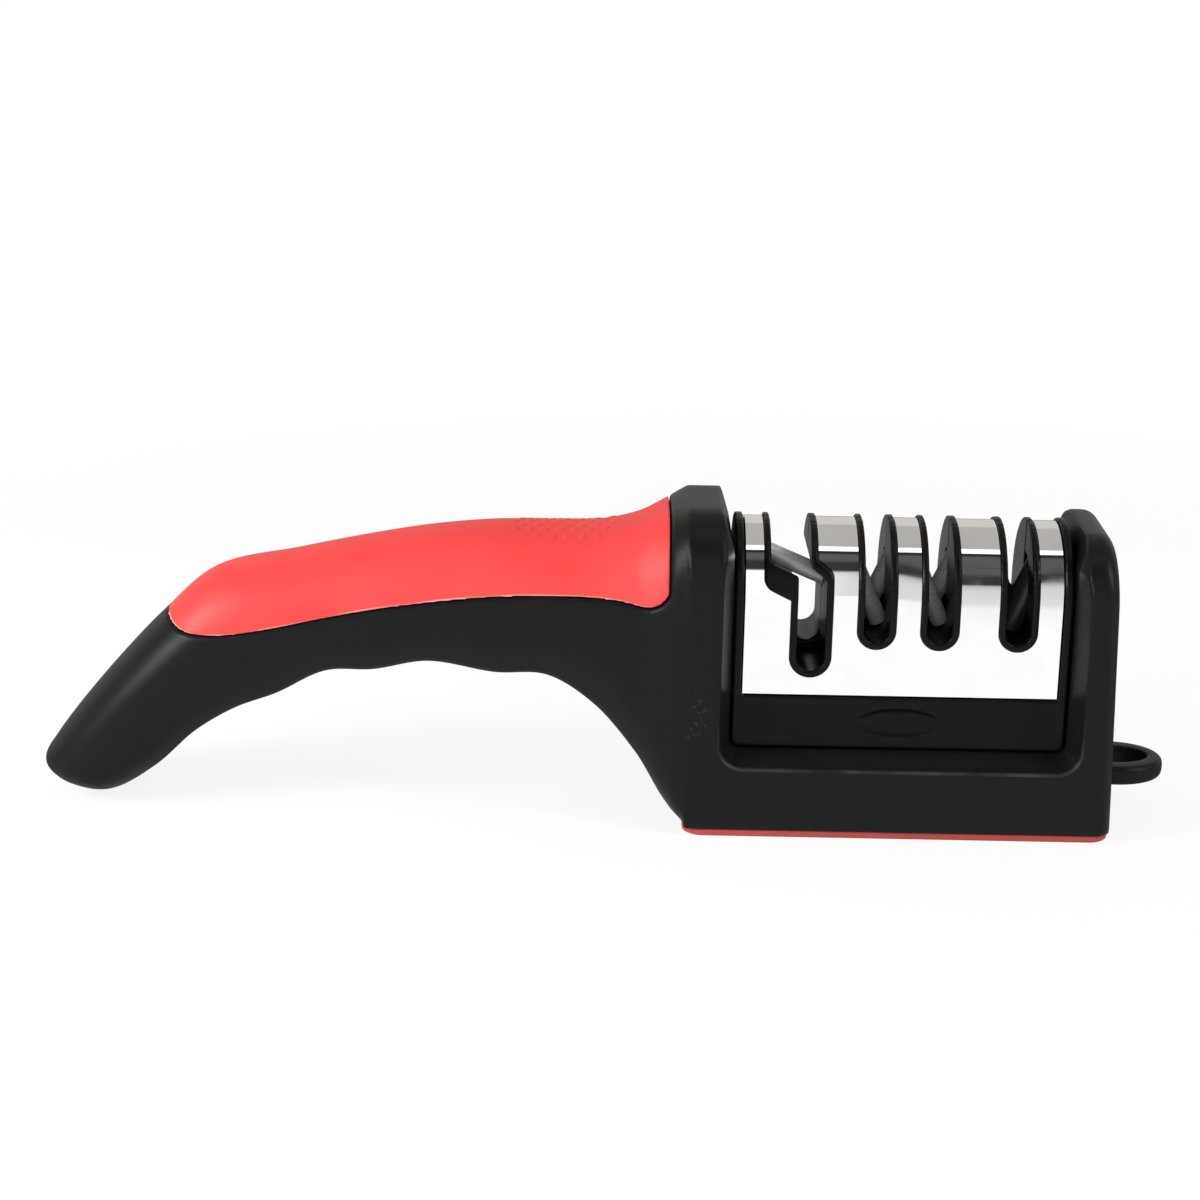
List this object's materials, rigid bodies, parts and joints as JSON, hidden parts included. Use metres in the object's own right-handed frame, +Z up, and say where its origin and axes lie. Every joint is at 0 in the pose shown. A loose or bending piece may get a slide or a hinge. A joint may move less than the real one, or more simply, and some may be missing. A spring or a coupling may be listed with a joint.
{
  "type": "knife sharpener",
  "caption": "Hand-held pull-through knife and scissors sharpener with an arched soft-grip handle, non-slip base, hanging loop and a lift-out head with crossed abrasive rods.",
  "frame": {"origin": "centre of the base pad's underside, on the surface that the sharpener stands on", "axes": "+X along the length from the handle to the hanging loop, +Y along the blade's stroke, away from the viewer, +Z up"},
  "size_m": [0.2297, 0.042, 0.0645],
  "materials": {
    "black_plastic": "satin moulded",
    "frame_plastic": "satin moulded",
    "red_rubber": "matt soft touch",
    "pad_rubber": "matt",
    "bright_sheet": "mirror polished",
    "pale_rod": "ground",
    "coarse_rod": "coarse grit coating",
    "medium_rod": "medium grit coating",
    "fine_rod": "fine ground",
    "screw_steel": "plain zinc"
  },
  "bodies": {
    "housing": {"main_housing": "black_plastic", "grip_cover": "red_rubber", "grip_carrier": "frame_plastic", "base_plate": "frame_plastic", "base_pad": "pad_rubber", "base_screw_1": "screw_steel", "base_screw_2": "screw_steel", "base_screw_3": "screw_steel", "base_screw_4": "screw_steel"},
    "sharpening_head": {"head_frame_front": "frame_plastic", "head_frame_rear": "frame_plastic", "bright_sheet": "bright_sheet", "scissor_rod": "pale_rod", "coarse_rod_front": "coarse_rod", "coarse_rod_rear": "coarse_rod", "medium_rod_front": "medium_rod", "medium_rod_rear": "medium_rod", "fine_rod_front": "fine_rod", "fine_rod_rear": "fine_rod", "frame_screw_1": "screw_steel", "frame_screw_2": "screw_steel", "frame_screw_3": "screw_steel", "frame_screw_4": "screw_steel"}
  },
  "joints": [
    {"name": "head_lift", "type": "slide", "parent": "housing", "child": "sharpening_head", "axis": [0, 0, 1], "range_m": [0, 0.058]}
  ]
}
